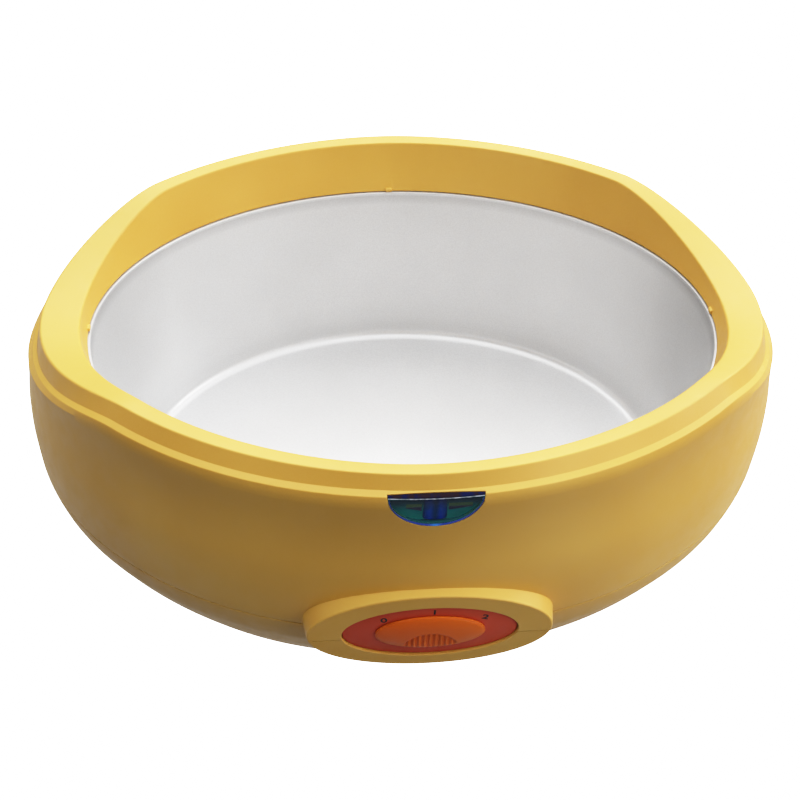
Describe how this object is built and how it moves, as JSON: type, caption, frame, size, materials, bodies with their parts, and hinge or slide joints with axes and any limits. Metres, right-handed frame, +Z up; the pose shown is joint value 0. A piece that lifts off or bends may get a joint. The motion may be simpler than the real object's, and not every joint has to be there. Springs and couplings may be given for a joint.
{
  "type": "wax warmer pot",
  "caption": "Oval salon wax warmer with a yellow two-part housing, dipped rim, open aluminium tub, slide control on an oval front panel and a blue indicator window.",
  "frame": {"origin": "on the table plane, under the middle of the oval base", "axes": "+Z up, -Y towards the front where the control panel is, +X to the right seen from the front, along the long axis of the oval"},
  "size_m": [0.3632, 0.2905, 0.1432],
  "materials": {
    "housing_top": "satin moulded plastic, light yellow",
    "housing_bottom": "satin moulded plastic, tan yellow",
    "tub_metal": "fine satin, drawn",
    "gasket": "matt silicone",
    "panel_plate": "fine matt",
    "knob": "satin, ribbed thumb scoop",
    "inner_black": "plain moulded",
    "phenolic": "moulded phenolic",
    "zinc_sheet": "plated sheet",
    "brass_part": "turned",
    "white_lever": "plain moulded",
    "lens": "clear tinted plastic, polished",
    "lamp": "clear glass",
    "element": "heat-tinted sheath",
    "fuse": "glazed",
    "shield": "bright sheet",
    "insulation": "fibre felt",
    "terminal": "plain moulded",
    "lead_brown": "insulated wire",
    "lead_grey": "insulated wire",
    "lead_green": "insulated wire",
    "screw_steel": "plated",
    "foot_rubber": "matt"
  },
  "bodies": {
    "housing": {"upper_shell": "housing_top", "lower_shell": "housing_bottom", "wax_tub": "tub_metal", "tub_gasket": "gasket", "label_plate": "panel_plate", "slider_guide": "inner_black", "thermostat_body": "phenolic", "thermostat_bracket": "zinc_sheet", "indicator_lens": "lens", "indicator_lamp": "lamp", "lamp_holder": "inner_black", "heating_element": "element", "thermal_fuse": "fuse", "fuse_clip": "zinc_sheet", "heat_shield": "shield", "insulation_pad": "insulation", "terminal_block": "terminal", "power_inlet": "inner_black", "lead_right": "lead_brown", "lead_left": "lead_grey", "lead_earth": "lead_green", "heater_strap_1": "zinc_sheet", "strap_nut_1": "screw_steel", "inlet_pin_1": "brass_part", "heater_strap_2": "zinc_sheet", "strap_nut_2": "screw_steel", "inlet_pin_2": "brass_part", "heater_strap_3": "zinc_sheet", "strap_nut_3": "screw_steel", "inlet_pin_3": "brass_part", "tub_clip_1": "zinc_sheet", "clip_screw_1": "screw_steel", "housing_screw_1": "screw_steel", "foot_1": "foot_rubber", "tub_clip_2": "zinc_sheet", "clip_screw_2": "screw_steel", "housing_screw_2": "screw_steel", "foot_2": "foot_rubber", "tub_clip_3": "zinc_sheet", "clip_screw_3": "screw_steel", "housing_screw_3": "screw_steel", "foot_3": "foot_rubber", "tub_clip_4": "zinc_sheet", "clip_screw_4": "screw_steel", "housing_screw_4": "screw_steel", "foot_4": "foot_rubber"},
    "slider": {"slider_knob": "knob", "slider_carriage": "inner_black"},
    "lever": {"thermostat_lever": "white_lever", "thermostat_shaft": "brass_part"}
  },
  "joints": [
    {"name": "temperature_slide", "type": "slide", "parent": "housing", "child": "slider", "axis": [1, 0, 0], "range_m": [-0.008, 0.008]},
    {"name": "thermostat_turn", "type": "hinge", "parent": "housing", "child": "lever", "pos_m": [0, -0.113, 0.055], "axis": [0, 0, 1], "range_deg": [-33, 33]}
  ],
  "couplings": [
    {"joint": "thermostat_turn", "follows": "temperature_slide", "rad_per_m": 70.3}
  ]
}
